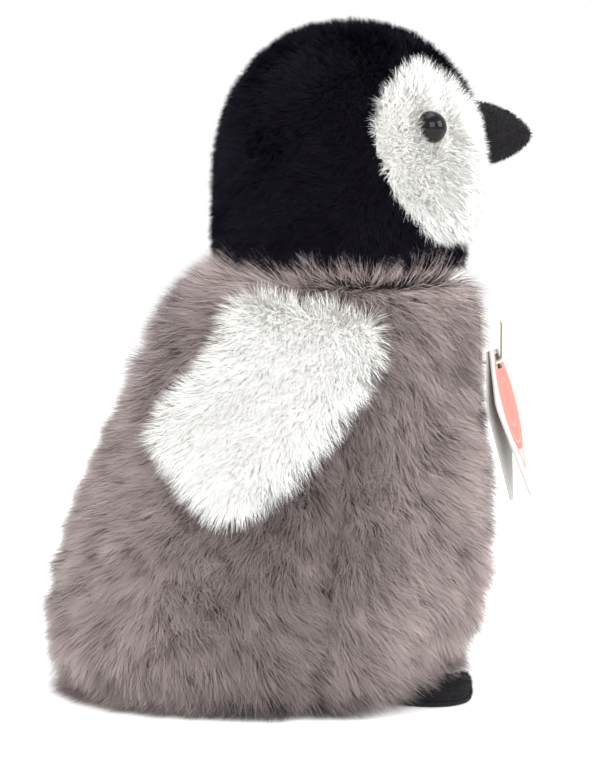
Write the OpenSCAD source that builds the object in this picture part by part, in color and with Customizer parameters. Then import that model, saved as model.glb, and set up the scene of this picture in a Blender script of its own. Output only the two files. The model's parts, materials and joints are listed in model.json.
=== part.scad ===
// Plush penguin chick, sitting upright. Millimetres, +Z up, the beak points along -Y.
// The origin is on the floor, midway between the back of the rump and the foremost point.
// Fabric panels are thick shells: backing and pile together, out to the tips of the pile.

/* [Body] */
// Height of the neck seam above the floor
body_h = 133; // [115:1:160]
// Reach of the rump behind the middle of the body
body_back = 69; // [60:1:83]
// Reach of the belly in front of the middle of the body
body_front = 71.5; // [64:0.5:86]
// Widest width of the rump
body_w = 114; // [96:1:137]
// Backing and pile of the grey panels together
body_pile = 9; // [6:0.5:11]
// Angle of the side seams, counted from the middle of the belly
side_seam = 76; // [60:1:90]

/* [Base] */
// Height of the seam between the base and the body panels
base_seam_h = 7; // [5:0.5:8]
// Backing and pile of the base panel
base_pile = 3; // [2:0.5:4]
// How far the feet lift the front of the base off the floor
base_lift = 7; // [6.5:0.5:10]
// Radius of the pouch of granules
pouch_r = 34; // [28:1:38]
// Height of the pouch of granules
pouch_h = 14; // [10:1:17]

/* [Head] */
// Height of the top of the head above the neck seam
head_h = 76; // [64:1:91]
// Depth of the head, from forehead to nape
head_depth = 89; // [80:1:100]
// Width of the head
head_w = 84; // [76:1:96]
// How far the middle of the head lies in front of the middle of the body
head_forward = 27; // [22:1:30]
// Backing and pile of the head's panels
head_pile = 5; // [4:0.5:6]
// Angle of the seam down the side of the head, counted from the beak
cheek_seam = 104; // [96:1:125]

/* [Face] */
// Height of the eyes above the neck seam
eye_h = 42.5; // [38:0.5:44]
// Angle of each eye, counted from the beak
eye_angle = 56; // [48:1:64]
// Diameter of an eye's dome
eye_d = 10; // [8:0.5:12]
// Diameter of an eye's shank
shank_d = 3; // [2.4:0.1:3.6]
// Diameter of the locking washer on the shank
washer_d = 11; // [9:0.5:13]

/* [Beak] */
// Height of the beak's root above the neck seam
beak_h = 40; // [36:0.5:44]
// How far the beak stands out of the head's pile
beak_out = 12.5; // [10:0.5:15]
// Radius of the beak at its root
beak_r = 9.8; // [8:0.1:11]
// How far the beak's tip droops
beak_droop = 0.5; // [0:0.5:4]
// Thickness of the beak's velour
velour = 1.2; // [1:0.1:1.5]

/* [Flippers] */
// Height of a flipper's sewn edge above the floor, as a drop below the neck seam
flipper_drop = 6; // [5.5:0.5:12]
// Vertical reach of a flipper, from its sewn edge to its tip
flipper_l = 62.5; // [54:0.5:76]
// How far the tip is swept back from the sewn edge
flipper_sweep = 46; // [36:1:50]
// Half the width of a flipper at the shoulder
flipper_half_w = 27; // [21:0.5:28]
// Thickness of a flipper
flipper_t = 11; // [9:0.5:13]

/* [Feet] */
// Length of a foot
foot_l = 31; // [28:1:36]
// Width of a foot
foot_w = 25; // [21:1:28]
// Thickness of a foot at its toes
foot_t = 12; // [8:0.5:14.5]
// Distance of a foot's heel from the middle plane
foot_x = 23; // [20:0.5:26]
// Angle by which the toes point outwards
toe_out = 14; // [5:1:20]

/* [Swing tag] */
// Length of a leaf of the card
tag_l = 48; // [42:1:56]
// Width of a leaf of the card
tag_w = 32; // [26:1:36]
// Thickness of the card
card_t = 0.5; // [0.4:0.1:0.8]
// Height of the fold of the card below the neck seam
tag_drop = 28; // [25:1:32]
// Angle at which the back leaf hangs out from the belly
back_leaf_angle = 8; // [6:1:12]
// Angle between the two leaves
leaf_angle = 7; // [6:1:16]
// Angle by which the card has turned about its ribbon, towards the right flipper
tag_turn = 22; // [0:1:26]
// Width of the ribbon loop that holds the card
loop_w = 4; // [3:0.5:6]

/* [Hidden] */

GREY = [0.55, 0.50, 0.48];
BLACK = [0.06, 0.055, 0.075];
WHITE = [0.93, 0.92, 0.90];
FILL = [0.97, 0.96, 0.93];

seam_gap = 0.3;     // clear gap left by a seam, in degrees round the body or head
clear = 0.4;        // clear gap between a cover and what fills it
move_gap = 0.5;     // clear gap between pieces that move past each other
ring_n = 36;        // points round a whole ring
pocket = 0.3;       // clear gap round a piece that sits in a pocket of the pile

head_mid_z = body_h + head_h * 0.355;
head_up = head_h * 0.645;
neck_sin = 0.494;   // the neck cuts the head's lower half at this sine
head_down = (head_mid_z - body_h) / neck_sin;
neck_share = 0.888; // the neck's size as a share of the head's
neck_back_shift = 5.5;
neck_mid = neck_back_shift - head_forward;
neck_half = head_depth / 2 * neck_share + 1.5;
neck_half_w = head_w / 2 * neck_share + 1;
beak_reach = head_forward + head_depth / 2 + beak_out;

function mix(a, b, k) = a + (b - a) * k;
function ramp(x, lo, hi) = let (t = min(1, max(0, (x - lo) / (hi - lo)))) t * t * (3 - 2 * t);
function spow(x, e) = sign(x) * pow(abs(x), e);

// ---- solids made of rows of points ----

// Two quads' worth of triangles between rows i and i + 1 of a strip that starts at index b.
function strip(b, i, m, flip) = [
    for (j = [0:m - 1]) let (p = b + i * (m + 1) + j, q = p + m + 1)
    each (flip ? [[p, q, p + 1], [p + 1, q, q + 1]] : [[p, p + 1, q], [p + 1, q + 1, q]])
];

// A panel: the solid between an outer and an inner grid of rows. With a pole, the last row is one point.
module panel(outer, inner, pole = false) {
    n = len(outer) - 1;
    m = len(outer[0]) - 1;
    b = (n + 1) * (m + 1);
    rows = pole ? n - 1 : n;
    tip = n * (m + 1);
    polyhedron(
        points = concat([for (r = outer) each r], [for (r = inner) each r]),
        faces = concat(
            [for (i = [0:rows - 1]) each strip(0, i, m, false)],
            [for (i = [0:rows - 1]) each strip(b, i, m, true)],
            pole ? [for (j = [0:m - 1]) let (p = tip - m - 1 + j) [p, p + 1, tip]] : [],
            pole ? [for (j = [0:m - 1]) let (p = tip - m - 1 + j) [b + p + 1, b + p, b + tip]] : [],
            [for (j = [0:m - 1]) each [[j + 1, j, b + j], [j + 1, b + j, b + j + 1]]],
            pole ? [] : [for (j = [0:m - 1]) let (p = tip + j)
                each [[p, p + 1, b + p], [p + 1, b + p + 1, b + p]]],
            [for (i = [0:n - 1]) let (p = i * (m + 1), q = p + m + 1)
                each [[p, q, b + p], [q, b + q, b + p]]],
            [for (i = [0:n - 1]) let (p = i * (m + 1) + m, q = pole && i == n - 1 ? tip : p + m + 1)
                each [[q, p, b + p], [q, b + p, b + q]]]
        ),
        convexity = 6
    );
}

// Triangles between ring i and ring i + 1 of k points each, after one pole point at index b.
function hoop(b, i, k, flip) = [
    for (j = [0:k - 1])
    let (p = b + 1 + i * k + j, p2 = b + 1 + i * k + (j + 1) % k, q = p + k, q2 = p2 + k)
    each (flip ? [[p, q, p2], [p2, q, q2]] : [[p, p2, q], [p2, q2, q]])
];
function fan(b, k, flip) = [
    for (j = [0:k - 1]) let (p = b + 1 + j, q = b + 1 + (j + 1) % k) flip ? [b, p, q] : [b, q, p]
];

// A dish: the solid between two bowls. Each bowl is a pole point and rings of k points.
module dish(pole_a, rings_a, pole_b, rings_b) {
    k = len(rings_a[0]);
    n = len(rings_a) - 1;
    b = 1 + (n + 1) * k;
    rim = 1 + n * k;
    polyhedron(
        points = concat([pole_a], [for (r = rings_a) each r], [pole_b], [for (r = rings_b) each r]),
        faces = concat(
            fan(0, k, false),
            [for (i = [0:n - 1]) each hoop(0, i, k, false)],
            fan(b, k, true),
            [for (i = [0:n - 1]) each hoop(b, i, k, true)],
            [for (j = [0:k - 1]) let (p = rim + j, p2 = rim + (j + 1) % k)
                each [[p, p2, b + p], [p2, b + p2, b + p]]]
        ),
        convexity = 6
    );
}

// A plug: rings of k points from a pole to a flat end.
module plug(pole, rings) {
    k = len(rings[0]);
    n = len(rings) - 1;
    polyhedron(
        points = concat([pole], [for (r = rings) each r]),
        faces = concat(
            fan(0, k, false),
            [for (i = [0:n - 1]) each hoop(0, i, k, false)],
            [[for (j = [0:k - 1]) 1 + n * k + j]]
        ),
        convexity = 6
    );
}

// ---- the body's shape ----

// Height as a share of the body's, then how far the back, front and width have gone
// from the neck's size, 0, to the rump's, 1.
BODY_ROWS = [
    [0.05, 0.94, -0.05, 0.88], [0.10, 1.00, 0.40, 1.00], [0.18, 1.00, 0.70, 1.00],
    [0.26, 0.96, 0.90, 0.95], [0.35, 0.92, 1.00, 0.87], [0.43, 0.86, 1.00, 0.77],
    [0.52, 0.76, 0.96, 0.64], [0.60, 0.65, 0.82, 0.52], [0.69, 0.53, 0.66, 0.43],
    [0.77, 0.44, 0.66, 0.37], [0.86, 0.34, 0.76, 0.30], [0.91, 0.26, 0.66, 0.22],
    [0.955, 0.15, 0.36, 0.12], [1.00, 0.00, 0.00, 0.00]
];
last_row = len(BODY_ROWS) - 1;
rump_mid = -10;     // the rump is widest this far from the middle of the body
squareness = 0.88;  // power of the sine and cosine that squares the rump's plan

function row_z(s) = s[0] == BODY_ROWS[0][0] ? base_seam_h : s[0] * body_h;
function row_mid(s) = mix(neck_mid, rump_mid, s[1]);
function row_back(s) = mix(neck_mid + neck_half, body_back, s[1]) - row_mid(s);
function row_front(s) = mix(neck_half - neck_mid, body_front, s[2]) + row_mid(s);
function row_side(s) = mix(neck_half_w, body_w / 2, s[3]);
function row_power(s) = mix(1, squareness, s[3]);

// The feet lift the front of the base: r is the share of the way out from the middle.
function lift(a, r, z) = base_lift * ramp(cos(a), 0.1, 0.6) * ramp(r, 0.3, 0.7) * ramp(-z, -45, 0);

// A point of the body at angle a from the belly's middle, off millimetres inside the pile's tips.
function body_point(a, s, off) = let (
    e = row_power(s),
    reach = (cos(a) > 0 ? row_front(s) : row_back(s)) - off
) [
    (row_side(s) - off) * spow(sin(a), e),
    row_mid(s) - reach * spow(cos(a), e),
    row_z(s) + lift(a, 1, row_z(s))
];

// The body's measures at any height, f being 0 to 4 for middle, front, back, side and power.
function between(z, f) = lookup(z, [for (s = BODY_ROWS) [row_z(s), f == 0 ? row_mid(s) :
    f == 1 ? row_front(s) : f == 2 ? row_back(s) : f == 3 ? row_side(s) : row_power(s)]]);
// Half the body's width at a place on its side.
function body_x(y, z) = let (
    t = y - between(z, 0),
    n = 2 / between(z, 4),
    u = min(0.97, abs(t) / between(z, t < 0 ? 1 : 2))
) between(z, 3) * pow(1 - pow(u, n), 1 / n);

function body_grid(a0, a1, m, off, edge) = [
    for (i = [0:last_row]) let (s = BODY_ROWS[i], dz = i == 0 ? edge : i == last_row ? -edge : 0)
    [for (j = [0:m]) body_point(mix(a1, a0, j / m), s, off) + [0, 0, dz]]
];

module body_panel(a0, a1, m) {
    edge = clear / 2;
    translate([0, y0, 0])
        panel(body_grid(a0, a1, m, 0, edge), body_grid(a0, a1, m, body_pile, edge));
}

module body_side_left() {
    color(GREY) body_panel(side_seam + seam_gap, 180 - seam_gap, 10);
}

module body_side_right() {
    color(GREY) mirror([1, 0, 0]) body_panel(side_seam + seam_gap, 180 - seam_gap, 10);
}

module belly_panel() {
    color(GREY) difference() {
        body_panel(-side_seam + seam_gap, side_seam - seam_gap, 14);
        loop_pocket();
    }
}

// Rings of the base: share of the way out, and height above the floor.
BASE_OUTER = [
    [0.35, 0], [0.62, 0], [0.84, 0], [0.92, 0.8], [0.97, 2.6], [1, base_seam_h - clear]
];
BASE_INNER = [
    [0.35, base_pile], [0.62, base_pile], [0.80, base_pile], [0.86, base_pile + 0.8],
    [0.90, base_pile + 1.9], [0.92, base_seam_h - clear]
];
BASE_FILL = [0.35, 0.62, 0.79];

function base_ring(r, z) = [
    for (j = [0:ring_n - 1]) let (a = -360 * j / ring_n, p = body_point(a, BODY_ROWS[0], 0))
    [p[0] * r, mix(rump_mid, p[1], r), z + lift(a, r, base_seam_h)]
];

module base_panel() {
    color(GREY) translate([0, y0, 0]) dish(
        [0, rump_mid, 0], [for (p = BASE_OUTER) base_ring(p[0], p[1])],
        [0, rump_mid, base_pile], [for (p = BASE_INNER) base_ring(p[0], p[1])]
    );
}

pouch_y = 14;       // the pouch lies behind the lifted front of the base
pouch_edge = 4;     // rounding of the pouch's rim

module pellet_pouch() {
    color("tan") translate([0, y0 + pouch_y, base_pile + clear]) rotate_extrude($fn = 64) union() {
        square([pouch_r - pouch_edge, pouch_h]);
        translate([0, pouch_edge]) square([pouch_r, pouch_h - 2 * pouch_edge]);
        translate([pouch_r - pouch_edge, pouch_edge]) circle(r = pouch_edge, $fn = 32);
        translate([pouch_r - pouch_edge, pouch_h - pouch_edge]) circle(r = pouch_edge, $fn = 32);
    }
}

// A whole ring of the body's inside, cleared from the panels.
function body_ring(s, off, dz) = [
    for (j = [0:ring_n - 1]) body_point(-360 * j / ring_n, s, off) + [0, 0, dz]
];

module body_stuffing() {
    floor_z = base_pile + clear;
    color(FILL) translate([0, y0, 0]) difference() {
        plug(
            [0, rump_mid, floor_z],
            concat(
                [for (r = BASE_FILL) base_ring(r, floor_z)],
                [for (i = [0:last_row]) body_ring(BODY_ROWS[i], body_pile + clear,
                    i == 0 ? clear : i == last_row ? -clear : 0)]
            )
        );
        translate([0, pouch_y, 0])
            cylinder(r = pouch_r + clear, h = base_pile + pouch_h + 2 * clear, $fn = 64);
    }
}

// ---- the head's shape ----

head_round = 0.85;  // power of the cosine that fills out the dome

function head_point(a, t, off) = let (
    c = pow(cos(t), head_round),
    z = t >= 0 ? head_mid_z + (head_up - off) * sin(t) : head_mid_z + head_down * sin(t),
    shift = neck_back_shift * pow(max(0, (head_mid_z - z) / (head_mid_z - body_h)), 2)
) [
    (head_w / 2 - off) * c * sin(a),
    shift - head_forward - (head_depth / 2 - off) * c * cos(a),
    z
];
neck_t = -asin(neck_sin);

// Rows of the head: angles above and below its middle. The edges of the white patches follow
// these heights: where a patch starts in front, and where it ends behind.
FACE_ROWS = [
    [-22, 0, 44], [-20, 0, 53], [-16, 0, 60], [-11, 0, 69], [-6, 0, 75], [0, 0, 79],
    [6, 0, 82], [12, 0, 84], [17, 10, 85], [21, 13, 84], [26, 15, 82], [31, 22, 79],
    [36, 29, 74], [41, 37, 68], [45, 43, 61], [47, 47, 55]
];
CROWN_ROWS = [55, 63, 71, 80, 90];
face_low = FACE_ROWS[0][0];
face_high = FACE_ROWS[len(FACE_ROWS) - 1][0];
patch_top = 51;     // angle round the head at which the two edges of a patch meet

function back_edge(t) = lookup(t, concat([for (f = FACE_ROWS) [f[0], f[2]]], [[face_high + 2, patch_top]]));

// The chin's rows, under the patches.
chin_rows = [neck_t, (neck_t + face_low) / 2, face_low - 0.6];

// Every panel's rows lie at these angles, so that covers and stuffing nest.
HEAD_ROWS = concat(
    chin_rows,
    [for (f = FACE_ROWS) f[0]], [face_high + 2], CROWN_ROWS
);

function head_rows(ts, lows, highs, m, off) = [
    for (i = [0:len(ts) - 1])
    [for (j = [0:m]) head_point(mix(highs[i] - seam_gap, lows[i] + seam_gap, j / m), ts[i], off)]
];
module head_panel(ts, lows, highs, m, pole = false) {
    translate([0, y0, 0])
        panel(head_rows(ts, lows, highs, m, 0), head_rows(ts, lows, highs, m, head_pile), pole);
}

// The hole that the beak passes through, and the pocket that an eye sits in.
module beak_hole() {
    translate([0, y0 - head_forward, body_h + beak_h])
        rotate([90, 0, 0]) cylinder(r = beak_r + pocket, h = head_depth, $fn = 64);
}

eye_t = asin((body_h + eye_h - head_mid_z) / head_up);
module at_eye(off) {
    translate([0, y0, 0] + head_point(eye_angle, eye_t, off))
        rotate([0, 0, eye_angle - 90]) rotate([0, 90 - eye_t, 0]) children();
}

module face_patch() {
    ts = [for (f = FACE_ROWS) f[0]];
    difference() {
        head_panel(ts, [for (f = FACE_ROWS) f[1]], [for (f = FACE_ROWS) f[2]], 8);
        beak_hole();
        at_eye(dome_sink + pocket) cylinder(d = eye_d + 2 * pocket, h = 2 * head_pile, $fn = 48);
        at_eye(2 * head_pile) cylinder(d = shank_d + 2 * pocket, h = 2 * head_pile, $fn = 32);
    }
}

module face_left() {
    color(WHITE) face_patch();
}

module face_right() {
    color(WHITE) mirror([1, 0, 0]) face_patch();
}

// The black tongue from the beak up between the patches, and on over the crown.
module head_crown() {
    low_rows = [for (f = FACE_ROWS) if (f[1] > 0) f];
    ts = concat([for (f = low_rows) f[0]], [face_high + 2], CROWN_ROWS);
    edges = concat([for (f = low_rows) f[1]], [for (t = [face_high + 2, each CROWN_ROWS]) patch_top]);
    color(BLACK) difference() {
        head_panel(ts, -edges, edges, 8, true);
        beak_hole();
    }
}

// The black band under the patches, from cheek to cheek.
chin_edge = FACE_ROWS[0][2];

module chin() {
    color(BLACK) head_panel(chin_rows, -chin_edge * [1, 1, 1], chin_edge * [1, 1, 1], 10);
}

// The black cheek, from the patch back to the seam down the side of the head.
module cheek() {
    fronts = [for (t = HEAD_ROWS) t < face_low ? chin_edge : t > face_high ? patch_top : back_edge(t)];
    head_panel(HEAD_ROWS, fronts, [for (t = HEAD_ROWS) cheek_seam], 8, true);
}

module cheek_left() {
    color(BLACK) cheek();
}

module cheek_right() {
    color(BLACK) mirror([1, 0, 0]) cheek();
}

module head_back_half() {
    head_panel(HEAD_ROWS, [for (t = HEAD_ROWS) cheek_seam], [for (t = HEAD_ROWS) 180], 7, true);
}

module head_back_left() {
    color(BLACK) head_back_half();
}

module head_back_right() {
    color(BLACK) mirror([1, 0, 0]) head_back_half();
}

// The inside of the head, as rings from the crown down to the neck.
function head_ring(t, off) = [for (j = [0:ring_n - 1]) head_point(360 * j / ring_n, t, off)];

module eye_hollows() {
    for (side = [0, 1]) mirror([side, 0, 0]) at_eye(head_pile + washer_depth) {
        cylinder(d = washer_d + 2 * clear, h = head_pile + washer_depth, $fn = 48);
        translate([0, 0, -shank_l]) cylinder(d = shank_d + 2 * clear, h = 2 * shank_l, $fn = 32);
    }
}

module head_stuffing() {
    color(FILL) difference() {
        translate([0, y0, 0]) plug(
            head_point(0, 90, head_pile + clear),
            [for (i = [len(HEAD_ROWS) - 2:-1:0]) head_ring(HEAD_ROWS[i], head_pile + clear)]
        );
        eye_hollows();
    }
}

// ---- eyes ----

shank_l = 9;        // length of the shank behind the eye's dome
washer_t = 1.6;     // thickness of the locking washer
// Gap between the backing and the flat washer, which grows as the head's curve tightens.
washer_back = 0.3 + pow(washer_d / 2, 2) / (min(head_depth, head_w) / 2 - head_pile);
washer_depth = 3.4; // depth of the washer's hollow below the backing
dome_rise = 4.4;    // height of the eye's dome above its back
dome_sink = 4;      // depth of the eye's back below the pile's tips

module eye() {
    at_eye(dome_sink) rotate_extrude($fn = 64) union() {
        translate([0, -shank_l]) square([shank_d / 2, shank_l + 0.1]);
        intersection() {
            translate([0, dome_rise - eye_d / 2]) circle(d = eye_d, $fn = 64);
            square([eye_d, eye_d]);
        }
    }
}

module eye_left() {
    color("black") eye();
}

module eye_right() {
    color("black") mirror([1, 0, 0]) eye();
}

module eye_washer() {
    at_eye(head_pile + washer_back + washer_t) difference() {
        cylinder(d = washer_d, h = washer_t, $fn = 48);
        translate([0, 0, -1]) cylinder(d = shank_d + 0.1, h = washer_t + 2, $fn = 32);
    }
}

module eye_washer_left() {
    color("gainsboro") eye_washer();
}

module eye_washer_right() {
    color("gainsboro") mirror([1, 0, 0]) eye_washer();
}

// ---- beak ----

beak_root = head_depth / 2 + head_forward - head_pile;
beak_steps = [0, 0.2, 0.38, 0.54, 0.68, 0.8, 0.9, 0.96];
function beak_size(t) = pow(1 - pow(t, 1.7), 0.68);
function beak_mid(t) = [0, -mix(beak_root, beak_reach, t), body_h + beak_h - beak_droop * t * t];
function beak_ring(t, off, k = 24) = [
    for (j = [0:k - 1]) let (r = beak_r * beak_size(t) - off)
    beak_mid(t) + [r * 0.94 * sin(-360 * j / k), 0, r * cos(360 * j / k)]
];
function beak_rings(off, stop) = [for (i = [stop:-1:0]) beak_ring(beak_steps[i], off)];
last_step = len(beak_steps) - 1;

module beak_cover() {
    color(BLACK) translate([0, y0, 0]) dish(
        beak_mid(1), beak_rings(0, last_step),
        beak_mid(1) + [0, velour, 0],
        [for (r = beak_rings(velour, last_step)) [for (p = r) p + [0, velour * 0.3, 0]]]
    );
}

module beak_stuffing() {
    in = velour + clear;
    color(FILL) translate([0, y0 + in * 0.4, 0]) plug(
        beak_mid(0.94) + [0, in * 0.5, 0],
        beak_rings(in, last_step - 1)
    );
}

// ---- flippers ----

flipper_top = body_h - flipper_drop;
flipper_y = -12;    // middle of the sewn edge, from the middle of the body
flipper_bow = 2;    // how far back of the sewn edge the curve of the flipper is drawn

// The flipper's middle line, from the sewn edge to the tip, as [y, z].
function flipper_mid(t) =
    (1 - t) * (1 - t) * [flipper_y, flipper_top]
    + 2 * t * (1 - t) * [flipper_y + flipper_bow, flipper_top - flipper_l / 2]
    + t * t * [flipper_y + flipper_sweep, flipper_top - flipper_l];
function flipper_dir(t) = let (d = flipper_mid(t + 0.01) - flipper_mid(t - 0.01)) d / norm(d);
FLIPPER_WIDTH = [
    [0, 0.82], [0.05, 0.95], [0.1, 1], [0.22, 1], [0.4, 0.92], [0.58, 0.87], [0.74, 0.84],
    [0.86, 0.76], [0.94, 0.58], [0.98, 0.40], [1, 0.22]
];
FLIPPER_THICK = [[0, 0.35], [0.1, 0.7], [0.3, 1], [0.75, 1], [0.9, 0.75], [1, 0.2]];
FLIPPER_STEPS = [0, 0.05, 0.12, 0.22, 0.34, 0.46, 0.58, 0.7, 0.8, 0.88, 0.94, 0.98, 1];
rim_share = 0.16;   // thickness left at the rim, as a share of the middle's

function flipper_plan(t, w) = let (d = flipper_dir(t), h = flipper_half_w * lookup(t, FLIPPER_WIDTH))
    flipper_mid(t) + w * h * [-d[1], d[0]];
function flipper_thick(t, w) =
    flipper_t * lookup(t, FLIPPER_THICK) * mix(rim_share, 1, sqrt(max(0, 1 - pow(abs(w), 2.6))));

// The flipper lies on the body's pile, a little flatter than the body is round.
function flipper_in(t, w) = let (
    c = flipper_mid(t), p = flipper_plan(t, w),
    bc = body_x(c[0], c[1]), bp = body_x(p[0], p[1])
) max(bp, bc - 0.7 * (bc - bp)) + move_gap;

// q goes through the thickness: 0 lies on the body, 1 is the outside.
function flipper_point(t, w, q) = let (p = flipper_plan(t, w))
    [flipper_in(t, w) + flipper_thick(t, w) * q, p[0], p[1]];
function belly_of(t, w) = (1 - pow(abs(w), 4)) * ramp(t, 0, 0.2) * ramp(-t, -1, -0.8);

flipper_cols = 10;
function flipper_grid(q, bulge, share = 1, t0 = 0, t1 = 1) = [
    for (s = FLIPPER_STEPS) let (t = mix(t0, t1, s)) [
        for (j = [0:flipper_cols]) let (w = (2 * j / flipper_cols - 1) * share)
        flipper_point(t, w, q + bulge * belly_of(t, w))
    ]
];
seam_q = 0.04;      // half the gap between the two panels' edges, through the thickness
hollow_q = 0.28;    // how far each panel is hollowed for the wadding

module flipper_outer() {
    translate([0, y0, 0]) panel(flipper_grid(1, 0), flipper_grid(0.4 + seam_q, hollow_q));
}

module flipper_lining() {
    translate([0, y0, 0]) panel(flipper_grid(0.4 - seam_q, -hollow_q), flipper_grid(0, 0));
}

module flipper_wadding() {
    translate([0, y0, 0]) panel(
        flipper_grid(0.4, hollow_q - seam_q, 0.8, 0.1, 0.9),
        flipper_grid(0.4, seam_q - hollow_q, 0.8, 0.1, 0.9)
    );
}

module flipper_left_outer() {
    color(WHITE) flipper_outer();
}

module flipper_left_lining() {
    color(WHITE) flipper_lining();
}

module flipper_left_wadding() {
    color(FILL) flipper_wadding();
}

module flipper_right_outer() {
    color(WHITE) mirror([1, 0, 0]) flipper_outer();
}

module flipper_right_lining() {
    color(WHITE) mirror([1, 0, 0]) flipper_lining();
}

module flipper_right_wadding() {
    color(FILL) mirror([1, 0, 0]) flipper_wadding();
}

// ---- feet ----

heel_gap = 1.6;     // the part under the body is this much thinner than the lift that it fits in
heel_y = -32;       // the heel, from the middle of the body
sole_t = 1.4;       // thickness of the sole's velour
FOOT_RINGS = [0.3, 0.55, 0.75, 0.88, 0.96, 1];

heel_t = base_lift - heel_gap;

// The outline is an egg, wide at the toes. r is the share of the way out.
function foot_plan(a, r) = let (u = -cos(a) * r) [
    foot_w / 2 * sin(a) * r * (1 + 0.16 * u),
    -foot_l / 2 * (1 + u)
];
function foot_top(p, r) =
    mix(heel_t * mix(0.15, 1, ramp(-p[1], 0, foot_l * 0.42)), foot_t, ramp(-p[1], foot_l * 0.78, foot_l))
    * sqrt(max(0, 1 - pow(r, 6)));
function foot_ring(r, z, rise, k = 22) = [
    for (j = [0:k - 1]) let (p = foot_plan(360 * j / k, r)) [p[0], p[1], z + foot_top(p, r) * rise]
];

module at_foot() {
    translate([foot_x, y0 + heel_y, 0]) rotate([0, 0, toe_out]) children();
}

// The upper: a dome of velour, hollow for the stuffing.
module foot_upper() {
    z = sole_t + 0.1;
    share = 1 - z / foot_t;
    thin = 1 - 2 * velour / foot_t;
    at_foot() dish(
        foot_mid(z, share * thin),
        [for (r = FOOT_RINGS) foot_ring(r * 0.9, z, share * thin * (1 - pow(r, 8)))],
        foot_mid(z, share), [for (r = FOOT_RINGS) foot_ring(r, z, share)]
    );
}
function foot_mid(z, rise) = let (p = foot_plan(0, 0)) [p[0], p[1], z + foot_top(p, 0) * rise];

module foot_sole() {
    at_foot() dish(
        foot_mid(0, 0), [for (r = FOOT_RINGS) foot_ring(r * 0.98, 0, 0)],
        foot_mid(sole_t, 0), [for (r = FOOT_RINGS) foot_ring(r, sole_t, 0)]
    );
}

module foot_stuffing() {
    z = sole_t + 0.2;
    share = (1 - z / foot_t) * (1 - 2 * velour / foot_t) * 0.82;
    at_foot() dish(
        foot_mid(z, 0), [for (r = FOOT_RINGS) foot_ring(r * 0.8, z, 0)],
        foot_mid(z, share), [for (r = FOOT_RINGS) foot_ring(r * 0.8, z + 0.1, share * (1 - pow(r, 8)))]
    );
}

module foot_left_upper() {
    color(BLACK) foot_upper();
}

module foot_left_sole() {
    color(BLACK) foot_sole();
}

module foot_left_stuffing() {
    color(FILL) foot_stuffing();
}

module foot_right_upper() {
    color(BLACK) mirror([1, 0, 0]) foot_upper();
}

module foot_right_sole() {
    color(BLACK) mirror([1, 0, 0]) foot_sole();
}

module foot_right_stuffing() {
    color(FILL) mirror([1, 0, 0]) foot_stuffing();
}

// ---- swing tag ----

fold_z = body_h - tag_drop;
fold_out = 3.4;     // how far the fold stands out of the chest's pile
fold_y = between(fold_z, 0) - between(fold_z, 1) - fold_out;
leaf_step = card_t + 0.3;   // the front leaf lies this far in front of the back one
side_r = 6;         // rounding of a leaf's side corners
side_down = 0.36;   // where they lie, as a share of the leaf's length
tip_r = 2.5;        // rounding of its tip

// How far a round corner of the front leaf stands in front of the fold.
function corner_reach(x, down, r) = let (
    a = back_leaf_angle + leaf_angle,
    f = sin(a) * cos(tag_turn),
    front = (leaf_step + card_t) * cos(a) * cos(tag_turn)
) down * f + x * sin(tag_turn) + r * norm([f, sin(tag_turn)]) + front;
tag_reach = -fold_y + max(
    corner_reach(tag_w / 2 - side_r, tag_l * side_down, side_r),
    corner_reach(0, tag_l - tip_r, tip_r)
);

// The part is centred between its rearmost and its foremost point.
y0 = (max(beak_reach, tag_reach) - body_back) / 2;

slot_drop = 3.8;    // middle of the slot below the fold
slot_h = 4.8;       // height of the slot for the ribbon
slot_side = 1.2;    // room in the slot beside the ribbon
loop_t = 0.6;       // thickness of the ribbon
loop_rise = 10;     // height of the loop above the fold
loop_deep = 7;      // how far the loop reaches into the pile

module leaf_outline() {
    difference() {
        hull() {
            translate([-tag_w * 0.22, -1]) square([tag_w * 0.44, 1]);
            for (side = [-1, 1]) translate([side * (tag_w / 2 - side_r), -tag_l * side_down])
                circle(r = side_r, $fn = 32);
            translate([0, -tag_l + tip_r]) circle(r = tip_r, $fn = 32);
        }
        translate([-loop_w / 2 - slot_side, -slot_drop - slot_h / 2])
            square([loop_w + 2 * slot_side, slot_h]);
    }
}

// A leaf hangs from the fold, tilted forwards by the angle.
module leaf(angle, step) {
    translate([0, y0 + fold_y, fold_z]) rotate([0, 0, -tag_turn]) rotate([90 - angle, 0, 0])
        translate([0, 0, step]) linear_extrude(card_t) leaf_outline();
}

module tag_back_leaf() {
    color("ivory") leaf(back_leaf_angle, 0);
}

module tag_front_leaf() {
    color("ivory") leaf(back_leaf_angle + leaf_angle, leaf_step);
}

// The ribbon loop comes out of the chest, goes through both leaves and back in.
loop_low = fold_z - slot_drop;
loop_front = -fold_y + 3.4;
module loop_shape(grow) {
    back = loop_front - loop_deep;
    r = 2;
    union() {
        translate([back - grow, loop_low - grow + r])
            square([loop_deep + 2 * grow, loop_rise + slot_drop - 2 * r + 2 * grow]);
        translate([back - grow, loop_low - grow])
            square([loop_deep - r + grow, loop_rise + slot_drop + 2 * grow]);
        for (z = [loop_low + r, loop_low + loop_rise + slot_drop - r])
            translate([loop_front - r, z]) circle(r = r + grow, $fn = 32);
    }
}

module tag_loop() {
    color("wheat") translate([loop_w / 2, y0, 0]) rotate([90, 0, -90]) linear_extrude(loop_w) difference() {
        loop_shape(loop_t / 2);
        loop_shape(-loop_t / 2);
    }
}

module loop_pocket() {
    high = loop_rise + slot_drop + 2 * (loop_t + pocket);
    translate([-loop_w / 2 - pocket, y0 - loop_front - 1, loop_low - loop_t - pocket])
        cube([loop_w + 2 * pocket, loop_deep + 1 + loop_t + pocket, high]);
}

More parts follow.
